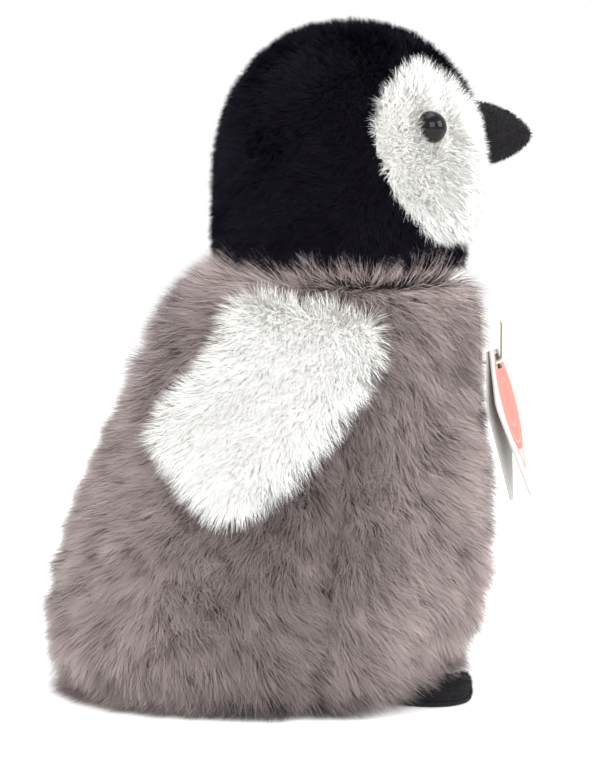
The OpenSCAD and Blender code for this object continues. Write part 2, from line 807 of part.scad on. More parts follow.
base_panel();
belly_panel();
body_side_left();
body_side_right();
pellet_pouch();
body_stuffing();
head_crown();
chin();
cheek_left();
cheek_right();
head_back_left();
head_back_right();
face_left();
face_right();
head_stuffing();
beak_cover();
beak_stuffing();
eye_left();
eye_right();
eye_washer_left();
eye_washer_right();
flipper_left_outer();
flipper_left_lining();
flipper_left_wadding();
flipper_right_outer();
flipper_right_lining();
flipper_right_wadding();
foot_left_upper();
foot_left_sole();
foot_left_stuffing();
foot_right_upper();
foot_right_sole();
foot_right_stuffing();
tag_loop();
tag_back_leaf();
tag_front_leaf();
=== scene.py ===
# %% [markdown]
# # A plush penguin chick
# This lesson dresses a CAD model of a sitting soft toy in its cloth, its fur and its glossy eyes.
# The CAD model gives every size and place. Here we build what the eye sees: a stuffed cloth form
# under each panel, and on it a pile of real strands. The strands could be particle hair, but hair
# doesn't travel with a model that is saved as plain meshes, so each strand is a thin bent blade.
# %% The frame
import json
import math

import bpy
import numpy as np
from mathutils import Matrix, Vector
from mathutils.bvhtree import BVHTree
from mathutils.kdtree import KDTree

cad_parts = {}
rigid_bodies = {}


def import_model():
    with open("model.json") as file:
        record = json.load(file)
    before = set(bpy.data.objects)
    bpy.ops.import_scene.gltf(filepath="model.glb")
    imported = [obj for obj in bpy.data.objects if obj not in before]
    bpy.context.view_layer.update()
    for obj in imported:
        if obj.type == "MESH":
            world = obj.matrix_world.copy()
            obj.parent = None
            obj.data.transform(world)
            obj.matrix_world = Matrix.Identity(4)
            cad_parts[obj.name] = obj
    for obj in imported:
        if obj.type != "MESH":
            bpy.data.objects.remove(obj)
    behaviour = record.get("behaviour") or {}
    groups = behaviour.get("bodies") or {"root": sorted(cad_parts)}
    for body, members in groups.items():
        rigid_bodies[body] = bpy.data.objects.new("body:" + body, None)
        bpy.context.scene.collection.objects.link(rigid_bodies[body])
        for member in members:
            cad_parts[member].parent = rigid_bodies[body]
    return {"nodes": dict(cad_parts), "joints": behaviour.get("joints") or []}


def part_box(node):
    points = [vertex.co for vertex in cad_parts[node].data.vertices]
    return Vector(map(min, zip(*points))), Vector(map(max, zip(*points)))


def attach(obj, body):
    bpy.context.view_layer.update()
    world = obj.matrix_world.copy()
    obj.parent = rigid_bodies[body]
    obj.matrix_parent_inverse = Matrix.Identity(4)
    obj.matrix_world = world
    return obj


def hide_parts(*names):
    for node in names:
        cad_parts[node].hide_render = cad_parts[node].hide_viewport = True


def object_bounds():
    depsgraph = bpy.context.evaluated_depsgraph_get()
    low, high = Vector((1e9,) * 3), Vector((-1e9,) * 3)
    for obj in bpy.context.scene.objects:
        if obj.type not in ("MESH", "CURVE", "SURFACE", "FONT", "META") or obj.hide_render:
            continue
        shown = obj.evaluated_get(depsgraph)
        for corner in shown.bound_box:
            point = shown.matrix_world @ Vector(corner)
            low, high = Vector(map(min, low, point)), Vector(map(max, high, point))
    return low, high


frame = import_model()
cad_low, cad_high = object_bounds()
MM = 0.001
Z = np.array([0.0, 0.0, 1.0])
BACK = np.array([0.0, 1.0, 0.0])
dice = np.random.default_rng(7)
print("CAD box, mm:", [round(v / MM, 1) for v in (*cad_low, *cad_high)])

# %% [markdown]
# ## Camera and light
# The toy stands in a pale studio, seen from its right side, a little from behind and from just
# above. A long lens keeps it from swelling towards us. The light could be one lamp, but fur needs
# soft light from many sides, or every strand throws a hard shadow: so the sky is white, and four
# wide lamps give the form its bright and its quiet side.
# %% Camera
middle_y = -2 * MM
aim = Vector((0, middle_y, 95 * MM))
stand_off = 700 * MM
azimuth = math.radians(266)
eye_place = Vector((math.sin(azimuth) * stand_off, middle_y - math.cos(azimuth) * stand_off, 155 * MM))
camera_data = bpy.data.cameras.new("studio_camera")
camera_data.lens = 105
camera_data.sensor_width = 36
camera = bpy.data.objects.new("studio_camera", camera_data)
bpy.context.scene.collection.objects.link(camera)
camera.location = eye_place
camera.rotation_mode = "QUATERNION"
camera.rotation_quaternion = (aim - eye_place).to_track_quat("-Z", "Y")
bpy.context.scene.camera = camera
print("camera at, mm:", [round(v / MM) for v in eye_place])


# %% Lamps and sky
def softbox(name, place, size, power, colour=(1, 1, 1)):
    """A wide square lamp that looks at the middle of the toy."""
    data = bpy.data.lights.new(name, "AREA")
    data.shape = "RECTANGLE"
    data.size, data.size_y = size
    data.energy = power
    data.color = colour
    lamp = bpy.data.objects.new(name, data)
    bpy.context.scene.collection.objects.link(lamp)
    lamp.location = place
    lamp.rotation_mode = "QUATERNION"
    lamp.rotation_quaternion = (aim - Vector(place)).to_track_quat("-Z", "Y")
    return lamp


softbox("key_softbox", (-0.40, -0.95, 0.55), (0.6, 0.6), 7.5)
softbox("side_softbox", (-0.95, -0.15, 0.50), (0.6, 0.6), 6)
softbox("top_softbox", (0.1, 0.1, 1.1), (0.8, 0.8), 7)
softbox("back_softbox", (-0.30, 0.95, 0.45), (0.6, 0.6), 3.5)
sky = bpy.data.worlds.new("white_studio")
sky.use_nodes = True
sky.node_tree.nodes["Background"].inputs["Color"].default_value = (1, 1, 1, 1)
sky.node_tree.nodes["Background"].inputs["Strength"].default_value = 1.04
bpy.context.scene.world = sky
bpy.context.scene.view_settings.view_transform = "Standard"
print("lamps:", len(bpy.data.lights))

# %% [markdown]
# ## Helpers for shapes
# A shape on this toy is a stack of rings, like a knitted sock. One helper turns rings of points
# into a closed mesh. Another reads a shape off the CAD panels: it shoots rays at them from
# outside and notes where they land, so that no size is written twice.
# %% Rings to mesh
def new_piece(name, points, faces, smooth=True):
    mesh = bpy.data.meshes.new(name)
    mesh.from_pydata([tuple(p) for p in points], [], faces)
    mesh.update()
    mesh.polygons.foreach_set("use_smooth", [smooth] * len(mesh.polygons))
    piece = bpy.data.objects.new(name, mesh)
    bpy.context.scene.collection.objects.link(piece)
    return piece


def ring_faces(rows, cols, low_pole=False, high_pole=False):
    """Quads of a closed stack of rings. The poles' points come after the rings' points."""
    faces = []
    for i in range(rows - 1):
        for j in range(cols):
            k = (j + 1) % cols
            faces.append((i * cols + j, i * cols + k, (i + 1) * cols + k, (i + 1) * cols + j))
    n = rows * cols
    if low_pole:
        faces += [(n, (j + 1) % cols, j) for j in range(cols)]
        n += 1
    if high_pole:
        top = (rows - 1) * cols
        faces += [(n, top + j, top + (j + 1) % cols) for j in range(cols)]
    return faces


def ring_normals(rings):
    """Outward normals of rings of points, as an array of the same shape."""
    along = np.roll(rings, -1, axis=1) - np.roll(rings, 1, axis=1)
    up = np.gradient(rings, axis=0)
    n = np.cross(along, up)
    return n / np.maximum(np.linalg.norm(n, axis=2, keepdims=True), 1e-12)


def unit(v):
    return v / np.maximum(np.linalg.norm(v, axis=-1, keepdims=True), 1e-12)


def ease(x, low, high):
    """0 below low, 1 above high, and a smooth step between."""
    t = np.clip((np.asarray(x, float) - low) / (high - low), 0, 1)
    return t * t * (3 - 2 * t)


# %% Rays at the CAD panels
def tree_of(names, turns=(None,)):
    """A tree of the nodes' faces, and each face's node; with turns, of the nodes at each turn."""
    points, faces, owner = [], [], []
    for name, turn in ((n, t) for n in names for t in turns):
        mesh = frame["nodes"][name].data
        first = len(points)
        points.extend(turn @ v.co if turn else v.co.copy() for v in mesh.vertices)
        faces.extend([first + i for i in p.vertices] for p in mesh.polygons)
        owner.extend([name] * len(mesh.polygons))
    return BVHTree.FromPolygons(points, faces), owner


FAR = 0.3


def land(tree, middle, towards):
    """Where a ray from far outside, aimed at the middle, lands. None through a seam's gap."""
    return tree.ray_cast(middle + towards * FAR, -towards, FAR)[0]


def fill_gaps(rings):
    """Rays that slipped through a seam or a hole get points between their neighbours'."""
    cols = np.arange(rings.shape[1])
    for ring in rings:
        found = ~np.isnan(ring[:, 0])
        for k in range(3):
            ring[:, k] = np.interp(cols, cols[found], ring[found, k], period=len(cols))
    return rings


# %% [markdown]
# ## The stuffed body
# The real body is four panels of long-pile cloth, sewn inside out and filled with fibre. Its
# backing lies one pile's length inside the CAD surface, because the CAD panels reach out to the
# tips of the fur. The form could be sculpted by hand, but a toy is round because its filling
# pushes: so the rings are read from the CAD panels, the seams are pinned, and Blender's Cloth
# blows the panels out between them.
# %% Body measures from the CAD model
BODY_PANELS = ["belly_panel", "body_side_left", "body_side_right", "base_panel"]
body_tree, _ = tree_of(BODY_PANELS)
floor_z = cad_low.z
neck_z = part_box("body_side_left")[1].z
body_pile = 9 * MM
base_pile = 3 * MM
side_seam = math.radians(76)
rump_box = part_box("base_panel")
rump_middle = Vector((0, (rump_box[0].y + rump_box[1].y) / 2, 0))
BODY_COLS = 120


def body_middle(z):
    """The middle of the body at a height, from rays at its chest and its back."""
    ends = []
    for side in (-1, 1):
        hits = [land(body_tree, Vector((x * MM, rump_middle.y, z)), Vector((0, side, 0))) for x in (3, 6)]
        ends.append(max((h.y * side for h in hits if h), default=40 * MM) * side)
    return Vector((0, sum(ends) / 2, z))


rim_points = np.array([v.co for v in frame["nodes"]["base_panel"].data.vertices])
rim_angle = np.arctan2(rim_points[:, 0], rump_middle.y - rim_points[:, 1])
rim_reach = np.hypot(rim_points[:, 0], rim_points[:, 1] - rump_middle.y)
on_rim = [
    i for i in range(len(rim_points))
    if rim_reach[i] > rim_reach[np.abs(rim_angle - rim_angle[i]) < 0.12].max() - 0.2 * MM
]
order = sorted(on_rim, key=lambda i: rim_angle[i])
angles = np.linspace(0, 2 * math.pi, BODY_COLS, endpoint=False)
turned = (angles + math.pi) % (2 * math.pi) - math.pi
rim_z = np.interp(turned, rim_angle[order], rim_points[order, 2], period=2 * math.pi)
print("rim of the base, mm: %.1f at the back, %.1f in front" % (rim_z[BODY_COLS // 2] / MM, rim_z[0] / MM))

# %% Rings of the body
BODY_LEVELS = [0.012, 0.03, 0.055, 0.085, *np.linspace(0.12, 0.96, 36), 0.985]
levels = []
for share in BODY_LEVELS:
    ring = []
    for a, low in zip(angles, rim_z):
        z = low + (neck_z - 0.4 * MM - low) * share
        hit = land(body_tree, body_middle(z), Vector((math.sin(a), -math.cos(a), 0)))
        ring.append(hit if hit else (np.nan,) * 3)
    levels.append(ring)
body_tips = fill_gaps(np.array(levels, float))
for _ in range(3):  # the CAD panels have flat facets: a little smoothing rounds them
    body_tips[1:-1] += 0.5 * ((body_tips[:-2] + body_tips[2:]) / 2 - body_tips[1:-1])
    body_tips += 0.35 * ((np.roll(body_tips, 1, 1) + np.roll(body_tips, -1, 1)) / 2 - body_tips)
body_out = ring_normals(body_tips)
print("body rings:", body_tips.shape)

# %% Rings under the body
BASE_SHARES = [0.15, 0.3, 0.45, 0.6, 0.72, 0.8]
rim = body_tips[0]
under = []
for share in BASE_SHARES:
    ring = []
    for p in rim:
        x, y = p[0] * share, rump_middle.y + (p[1] - rump_middle.y) * share
        hit = body_tree.ray_cast(Vector((x, y, -0.05)), Vector((0, 0, 1)))[0]
        ring.append((x, y, (hit.z if hit else floor_z) + base_pile))
    under.append(ring)
under = np.array(under)
print("rings under the body:", len(under))

# %% [markdown]
# A seam pulls the cloth in. Side seams, back seam and the seam round the base each get a soft
# furrow here, before the filling swells the panels between them.
# %% Seam furrows, and the cloth form
ring_angle = np.broadcast_to(turned, body_tips.shape[:2])
seam_width = 0.11
furrow = np.zeros(body_tips.shape[:2])
for seam in (side_seam, -side_seam, math.pi):
    away = np.abs((ring_angle - seam + math.pi) % (2 * math.pi) - math.pi)
    furrow = np.maximum(furrow, np.exp(-((away / seam_width) ** 2)))
level_share = np.array(BODY_LEVELS)[:, None]
furrow = furrow * ease(level_share, 0.02, 0.2) * (1 - ease(level_share, 0.8, 0.95))
furrow = np.maximum(furrow * 2.2 * MM, 1.5 * MM * np.exp(-((level_share / 0.03) ** 2)))
cloth_rings = body_tips - body_out * (body_pile + furrow)[..., None]
neck_centre = cloth_rings[-1].mean(axis=0)
shoulders = [neck_centre + (cloth_rings[-1] - neck_centre) * np.array([s, s, 1]) + Z * rise
             for s, rise in ((0.93, 2.0 * MM), (0.86, 3.2 * MM), (0.78, 3.6 * MM))]
body_rings = np.concatenate([under, cloth_rings, shoulders])
low_pole = [(0, rump_middle.y, floor_z + base_pile)]
high_pole = [tuple(neck_centre + Z * 4 * MM)]
body_cloth = new_piece(
    "body_cloth", np.concatenate([body_rings.reshape(-1, 3), low_pole, high_pole]),
    ring_faces(len(body_rings), BODY_COLS, True, True),
)
print("body cloth:", len(body_cloth.data.vertices), "points")


# %% Swelling between the seams
def plump(piece, held, pressure, steps, most):
    """The filling presses the cloth out; held points stay, and no point moves further than most."""
    start = np.array([v.co for v in piece.data.vertices])
    seams = piece.vertex_groups.new(name="seams")
    seams.add([int(i) for i in held], 1.0, "REPLACE")
    cloth = piece.modifiers.new("filling", "CLOTH")
    cloth.settings.quality = 4
    cloth.settings.vertex_group_mass = "seams"
    cloth.settings.tension_stiffness = 8
    cloth.settings.compression_stiffness = 8
    cloth.settings.bending_stiffness = 0.6
    cloth.settings.use_pressure = True
    cloth.settings.uniform_pressure_force = pressure
    cloth.settings.effector_weights.gravity = 0
    for step in range(1, steps + 1):
        bpy.context.scene.frame_set(step)
    done = piece.evaluated_get(bpy.context.evaluated_depsgraph_get()).to_mesh()
    moved = np.array([v.co for v in done.vertices]) - start
    piece.modifiers.remove(cloth)
    piece.vertex_groups.clear()
    bpy.context.scene.frame_set(1)
    size = np.linalg.norm(moved, axis=1, keepdims=True)
    moved *= np.minimum(1, most / np.maximum(size, 1e-9))
    piece.data.vertices.foreach_set("co", (start + moved).ravel())
    piece.data.update()
    print(piece.name, "swelled by up to %.1f mm" % (size.max() / MM))
    return piece


seam_cols = [int(np.argmin(np.abs((turned - s + math.pi) % (2 * math.pi) - math.pi)))
             for s in (side_seam, -side_seam, math.pi)]
first_side = len(BASE_SHARES)
held = [r * BODY_COLS + c for r in range(first_side + 2, len(body_rings)) for c in seam_cols]
held += list(range(0, (first_side + 1) * BODY_COLS))
held += list(range((len(body_rings) - 1) * BODY_COLS, len(body_cloth.data.vertices)))
plump(body_cloth, held, pressure=2.5, steps=10, most=2.0 * MM)
body_rings = np.array([v.co for v in body_cloth.data.vertices])[:-2].reshape(len(body_rings), BODY_COLS, 3)

# %% [markdown]
# ## The stuffed head
# The head is a dome of short black pile with a white patch on each side of the face. It is sewn
# from eight panels, but under the fur they make one smooth ball, so one set of rings serves. The
# rays also tell which panel they met, and that decides later where the fur is white.
# %% Rings of the head
FACE_PANELS = ["face_left", "face_right"]
HEAD_PANELS = ["head_crown", "chin", "cheek_left", "cheek_right", "head_back_left", "head_back_right"]
head_tree, head_owner = tree_of(HEAD_PANELS + FACE_PANELS)
head_low = Vector([min(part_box(n)[0][k] for n in HEAD_PANELS) for k in range(3)])
head_high = Vector([max(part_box(n)[1][k] for n in HEAD_PANELS) for k in range(3)])
head_pile = 5 * MM
HEAD_COLS = 120
head_size = head_high - head_low
head_core = Vector((0, -19.5 * MM, head_low.z + 0.355 * head_size.z))
cheek_seam = math.radians(104)
HEAD_TILTS = [-27, -25, -22, -18, -14, -10, -6, -2, 2, 6, 10, 14, 18, 22, 26, 30, 34, 38, 42, 46,
              50, 54, 58, 62, 66, 70, 74, 78, 82, 86]
head_angles = np.linspace(0, 2 * math.pi, HEAD_COLS, endpoint=False)
rings = []
for tilt in np.radians(HEAD_TILTS):
    out = math.cos(tilt) ** 0.85
    rise = (head_high.z - head_core.z if tilt > 0 else (head_core.z - neck_z) / 0.494) * math.sin(tilt)
    ring = []
    for a in head_angles:
        target = Vector((42 * MM * out * math.sin(a), -44.5 * MM * out * math.cos(a), rise))
        hit = land(head_tree, head_core, target.normalized())
        ring.append(hit if hit and (hit - head_core).length > 0.55 * target.length else (np.nan,) * 3)
    rings.append(ring)
head_tips = fill_gaps(np.array(rings, float))
for _ in range(3):
    head_tips[1:-1] += 0.5 * ((head_tips[:-2] + head_tips[2:]) / 2 - head_tips[1:-1])
    head_tips += 0.35 * ((np.roll(head_tips, 1, 1) + np.roll(head_tips, -1, 1)) / 2 - head_tips)
head_out = ring_normals(head_tips)
print("head rings:", head_tips.shape, "core, mm:", [round(v / MM, 1) for v in head_core])

# %% The head's cloth form
head_turn = np.broadcast_to((head_angles + math.pi) % (2 * math.pi) - math.pi, head_tips.shape[:2])
tilt_share = np.array(HEAD_TILTS)[:, None]
furrow = np.zeros(head_tips.shape[:2])
for seam in (cheek_seam, -cheek_seam, math.pi):
    away = np.abs((head_turn - seam + math.pi) % (2 * math.pi) - math.pi)
    furrow = np.maximum(furrow, np.exp(-((away / 0.07) ** 2)))
furrow = furrow * 1.0 * MM * (1 - ease(tilt_share, 50, 75))
head_rings = head_tips - head_out * (head_pile + furrow)[..., None]
patch_faces = []
for i in range(len(head_rings) - 1):
    for j in range(HEAD_COLS):
        middle = (head_rings[i, j] + head_rings[i + 1, (j + 1) % HEAD_COLS]) / 2
        hit = head_tree.ray_cast(Vector(middle + head_out[i, j] * 25 * MM), Vector(-head_out[i, j]), 40 * MM)
        if hit[2] is not None and head_owner[hit[2]] in FACE_PANELS:
            patch_faces.append((i + 1) * HEAD_COLS + j)
tuck = head_rings[0] * 1.0
tuck[:, :2] = head_rings[0][:, :2].mean(axis=0) + 0.94 * (tuck[:, :2] - head_rings[0][:, :2].mean(axis=0))
tuck[:, 2] = neck_z - 7 * MM
head_rings = np.concatenate([tuck[None], head_rings])
print("lowest ring of the head, mm: %.1f to %.1f" % (tuck[:, 2].min() / MM, tuck[:, 2].max() / MM))
top = (0, head_rings[-1][:, 1].mean(), head_high.z - head_pile)
bottom = (0, head_rings[0][:, 1].mean(), head_rings[0][:, 2].mean())
head_cloth = new_piece(
    "head_cloth", np.concatenate([head_rings.reshape(-1, 3), [bottom], [top]]),
    ring_faces(len(head_rings), HEAD_COLS, True, True),
)
seam_cols = [int(np.argmin(np.abs((head_turn[0] - s + math.pi) % (2 * math.pi) - math.pi)))
             for s in (cheek_seam, -cheek_seam, math.pi)]
held = [r * HEAD_COLS + c for r in range(2, len(head_rings) - 8) for c in seam_cols]
held += list(range(2 * HEAD_COLS))
plump(head_cloth, held, pressure=2.0, steps=8, most=1.0 * MM)
head_rings = np.array([v.co for v in head_cloth.data.vertices])[:-2].reshape(len(head_rings), HEAD_COLS, 3)

# %% [markdown]
# ## How the fur is made
# A strand is a thin blade with one bend. It is broad at its root and comes to a
# point, it leans with the way the cloth was brushed, and its tip gathers with its neighbours'
# into a tuft. Each strand's two texture coordinates carry its colour: across, how pale it is;
# along, how far a spot is from the root. So one small ramp paints a whole coat.
# %% A slow random swell
def ripple(points, size, seed):
    """A smooth random number at each point, about -1 to 1, that changes over the given size."""
    waves = np.random.default_rng(seed)
    total = np.zeros(len(points))
    for _ in range(7):
        direction = unit(waves.normal(size=3))
        length = size * waves.uniform(0.7, 1.5)
        total += np.sin(points @ direction * (2 * math.pi / length) + waves.uniform(0, 2 * math.pi))
    return total / 2.2


# %% Roots on rings
def sow(rings, per_mm2, keep=None):
    """Random roots on a stack of rings: their places, normals, row and column."""
    out = ring_normals(rings)
    a, b = rings[:-1], rings[1:]
    a2, b2 = np.roll(a, -1, 1), np.roll(b, -1, 1)
    area = np.linalg.norm(np.cross(b2 - a, b - a2), axis=2) / 2
    want = area / MM**2 * per_mm2
    if keep is not None:
        want = want * keep
    count = np.floor(want + dice.random(want.shape)).astype(int)
    row, col = np.nonzero(count)
    row, col = np.repeat(row, count[row, col]), np.repeat(col, count[row, col])
    u, v = dice.random(len(row))[:, None], dice.random(len(row))[:, None]
    nxt = (col + 1) % rings.shape[1]

    def blend(grid):
        low = grid[row, col] * (1 - u) + grid[row, nxt] * u
        high = grid[row + 1, col] * (1 - u) + grid[row + 1, nxt] * u
        return low * (1 - v) + high * v

    return blend(rings), unit(blend(out)), row + v[:, 0], col + u[:, 0]


# %% Trimming against the neighbours
def room_to(tree, roots, tips, gap):
    """How much of each strand fits before it meets the neighbours, from 0.2 to 1."""
    share = np.ones(len(roots))
    for i, (root, tip) in enumerate(zip(roots, tips)):
        way = Vector(tip - root)
        length = way.length
        if length > 1e-6:
            distance = tree.ray_cast(Vector(root), way / length, length + gap)[3]
            if distance is not None:
                share[i] = max(0.2, (distance - gap) / length)
    return share


# %% Blades
def fur(name, roots, out, lay, length, tint, material, body, tuft=3.2 * MM, gather=0.5,
        thick=0.16 * MM, bends=2, wild=0.16, soft=0.7, roll=0.5, near=(), ground=None):
    """Strands from roots. lay is the brushed direction, as long as the strands lean."""
    n = len(roots)
    steps = np.linspace(0, 1, bends + 1)
    leaders = np.nonzero(dice.random(n) < np.clip((1.3 * MM) ** 2 / tuft**2 * 0.55, 0.004, 0.5))[0]
    tree = KDTree(len(leaders))
    for i, k in enumerate(leaders):
        tree.insert(roots[k], i)
    tree.balance()
    head_of = leaders[np.array([tree.find(r)[1] for r in roots])]
    shade = dice.normal(size=n)
    swing = dice.normal(size=(n, 3))
    own = dice.normal(size=(n, 3)) * wild
    path = [roots]
    for i in range(bends):
        fall = (i + 0.5) / bends
        heading = unit(out * (1.15 - 0.5 * fall) + lay * (0.5 + 0.9 * fall) + own * (0.6 + fall)
                       + swing[head_of] * 0.16)
        path.append(path[-1] + heading * (length / bends)[:, None])
    path = np.array(path)
    for i, s in enumerate(steps):
        pull = gather * s**1.4
        path[i] += pull * (path[i][head_of] + 0.12 * (roots - roots[head_of]) - path[i])
    for tree, gap in near:
        share = room_to(tree, roots, path[-1], gap)
        path = roots + (path - roots) * share[None, :, None]
    if ground is not None:
        low = ground + 0.25 * MM + np.abs(shade) * 0.15 * MM
        path[:, :, 2] = np.maximum(path[:, :, 2], low[None])
    chord = path[-1] - path[0]
    facing = unit(np.cross(out + dice.normal(size=(n, 3)) * roll, chord))
    facing *= np.where((np.cross(facing, chord) * out).sum(axis=1) < 0, -1.0, 1.0)[:, None]
    points = []
    # tint moves a strand along the across ramp; for the body it carries painted light and shade as well as
    # random tone.
    u = np.clip(0.5 + 0.22 * tint + 0.07 * shade + 0.09 * shade[head_of], 0.02, 0.98)
    for i, s in enumerate(steps[:-1]):
        half = facing * (thick / 2 * (1 - 0.55 * s))
        points += [path[i] - half, path[i] + half]
    points.append(path[-1])
    points = np.stack(points, axis=1)
    per = points.shape[1]
    quads = [(2 * i, 2 * i + 1, 2 * i + 3, 2 * i + 2) for i in range(bends - 1)]
    blade = [v for q in quads for v in q] + [per - 3, per - 2, per - 1]
    sizes = [4] * len(quads) + [3]
    corners = (np.arange(n)[:, None] * per + np.array(blade)[None]).ravel()
    starts = np.concatenate([[0], np.cumsum(np.tile(sizes, n))[:-1]])
    mesh = bpy.data.meshes.new(name)
    mesh.vertices.add(n * per)
    mesh.vertices.foreach_set("co", points.astype(np.float32).ravel())
    mesh.loops.add(len(corners))
    mesh.loops.foreach_set("vertex_index", corners.astype(np.int32))
    mesh.polygons.add(len(starts))
    mesh.polygons.foreach_set("loop_start", starts.astype(np.int32))
    mesh.polygons.foreach_set("use_smooth", [True] * len(starts))
    along = np.array([s for s in steps[:-1] for _ in (0, 1)] + [1.0]) * 0.96 + 0.02
    layer = mesh.uv_layers.new(name="OFBake")
    uv = np.stack([np.repeat(u, len(blade)), np.tile(along[np.array(blade)], n)], axis=1)
    layer.data.foreach_set("uv", uv.astype(np.float32).ravel())
    mesh.update(calc_edges=True)
    mesh.validate()
    shine = unit(out * soft + unit(np.cross(facing, chord)) * (1 - soft))
    shading = mesh.attributes.new("custom_normal", "FLOAT_VECTOR", "POINT")
    shading.data.foreach_set("vector", np.repeat(shine, per, axis=0).astype(np.float32).ravel())
    piece = bpy.data.objects.new(name, mesh)
    bpy.context.scene.collection.objects.link(piece)
    mesh.materials.append(material)
    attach(piece, body)
    print(f"{name}: {n} strands, {n * (2 * bends - 1)} triangles")
    return piece


# %% [markdown]
# ## Finishes
# A pile's colour runs from a dark root, where light hardly reaches, to a pale tip. Each coat has
# two ramps over the strand's own coordinates, multiplied: one along the strand and one from
# strand to strand.
# %% Pile finishes
def ramp_node(nodes, stops):
    ramp = nodes.new("ShaderNodeValToRGB")
    ramp.color_ramp.elements[0].position, ramp.color_ramp.elements[0].color = stops[0][0], (*stops[0][1], 1)
    ramp.color_ramp.elements[1].position, ramp.color_ramp.elements[1].color = stops[-1][0], (*stops[-1][1], 1)
    for place, colour in stops[1:-1]:
        ramp.color_ramp.elements.new(place).color = (*colour, 1)
    return ramp


def plain_finish(name, roughness=0.8, sheen=0.0, sheen_tint=(1, 1, 1), specular=0.3):
    material = bpy.data.materials.new(name)
    material.use_nodes = True
    shader = material.node_tree.nodes["Principled BSDF"]
    shader.inputs["Roughness"].default_value = roughness
    shader.inputs["Specular IOR Level"].default_value = specular
    shader.inputs["Sheen Weight"].default_value = sheen
    shader.inputs["Sheen Roughness"].default_value = 0.4
    shader.inputs["Sheen Tint"].default_value = (*sheen_tint, 1)
    return material, material.node_tree.nodes, material.node_tree.links, shader


def pile_finish(name, root, middle, tip, dark=0.8, light=1.2, sheen=0.2, sheen_tint=(1, 1, 1),
                specular=0.2):
    material, nodes, links, shader = plain_finish(name, 0.75, sheen, sheen_tint, specular)
    place = nodes.new("ShaderNodeUVMap")
    place.uv_map = "OFBake"
    split = nodes.new("ShaderNodeSeparateXYZ")
    links.new(place.outputs["UV"], split.inputs[0])
    along = ramp_node(nodes, [(0.0, root), (0.45, middle), (1.0, tip)])
    across = ramp_node(nodes, [(0.0, (dark,) * 3), (1.0, (light,) * 3)])
    links.new(split.outputs["Y"], along.inputs[0])
    links.new(split.outputs["X"], across.inputs[0])
    mix = nodes.new("ShaderNodeMix")
    mix.data_type = "RGBA"
    mix.blend_type = "MULTIPLY"
    mix.inputs["Factor"].default_value = 1.0
    links.new(along.outputs["Color"], mix.inputs["A"])
    links.new(across.outputs["Color"], mix.inputs["B"])
    links.new(mix.outputs["Result"], shader.inputs["Base Color"])
    return material


# The grey's ramp from strand to strand reaches down to 0.4, deep enough for the painted shade on the body's
# sides.
grey_pile = pile_finish("grey_pile", (0.15, 0.108, 0.107), (0.37, 0.295, 0.286), (0.60, 0.508, 0.494),
                        dark=0.40, light=1.0, sheen=0.1)
black_pile = pile_finish("black_pile", (0.002, 0.0015, 0.003), (0.005, 0.004, 0.008), (0.012, 0.009, 0.018),
                         dark=0.6, light=1.0, sheen=0.015, sheen_tint=(0.5, 0.4, 0.9), specular=0.06)
white_pile = pile_finish("white_pile", (0.94, 0.93, 0.90), (0.95, 0.945, 0.92), (0.96, 0.955, 0.93),
                         dark=0.96, light=1.0, sheen=0.1)
velour_pile = pile_finish("velour_pile", (0.004, 0.003, 0.005), (0.010, 0.008, 0.011), (0.03, 0.026, 0.03),
                          dark=0.5, light=1.0, sheen=0.05, specular=0.08)
print("pile finishes:", [m.name for m in bpy.data.materials if m.name.endswith("_pile")])


# %% Backing cloth finish
def backing_finish(name, colour, deep, scale=900):
    material, nodes, links, shader = plain_finish(name, 0.95, 0.1)
    place = nodes.new("ShaderNodeTexCoord")
    grain = nodes.new("ShaderNodeTexNoise")
    grain.inputs["Scale"].default_value = scale
    ramp = ramp_node(nodes, [(0.3, deep), (0.7, colour)])
    links.new(place.outputs["Object"], grain.inputs["Vector"])
    links.new(grain.outputs["Fac"], ramp.inputs[0])
    links.new(ramp.outputs["Color"], shader.inputs["Base Color"])
    return material


# The grey backing is darker than the pile: partly the cloth's own grey, partly painted shade of the dense
# pile that covers it.
grey_backing = backing_finish("grey_backing", (0.12, 0.095, 0.09), (0.07, 0.055, 0.05))
black_backing = backing_finish("black_backing", (0.005, 0.004, 0.006), (0.002, 0.002, 0.003))
white_backing = backing_finish("white_backing", (0.92, 0.91, 0.89), (0.85, 0.84, 0.81))
body_cloth.data.materials.append(grey_backing)
head_cloth.data.materials.append(black_backing)
head_cloth.data.materials.append(white_backing)
for i in patch_faces:
    head_cloth.data.polygons[i].material_index = 1
print("white faces of the head's backing:", len(patch_faces))

# %% [markdown]
# ## Body fur
# The body's pile is the longest on the toy, and it was never combed straight: it falls down and
# back over the rump, sweeps forward low on the sides, and stands up in a collar where it meets
# the head. The direction at each root is a sum of those habits and two slow random swells. It is
# cut short where a flipper, a foot or the tag lies at rest, and where a foot or the tag passes as it moves.
# %% Which neighbours the body's fur must clear
def turn_at(joint_name, share):
    """The movement of a hinged piece at a share of its range."""
    joint = next(j for j in frame["joints"] if j["name"] == joint_name)
    place, axis = Vector(joint["pos_m"]), Vector(joint["axis"])
    low, high = (math.radians(limit) for limit in joint["range_deg"])
    turn = Matrix.Rotation(low + (high - low) * share, 4, axis)
    return Matrix.Translation(place) @ turn @ Matrix.Translation(-place)


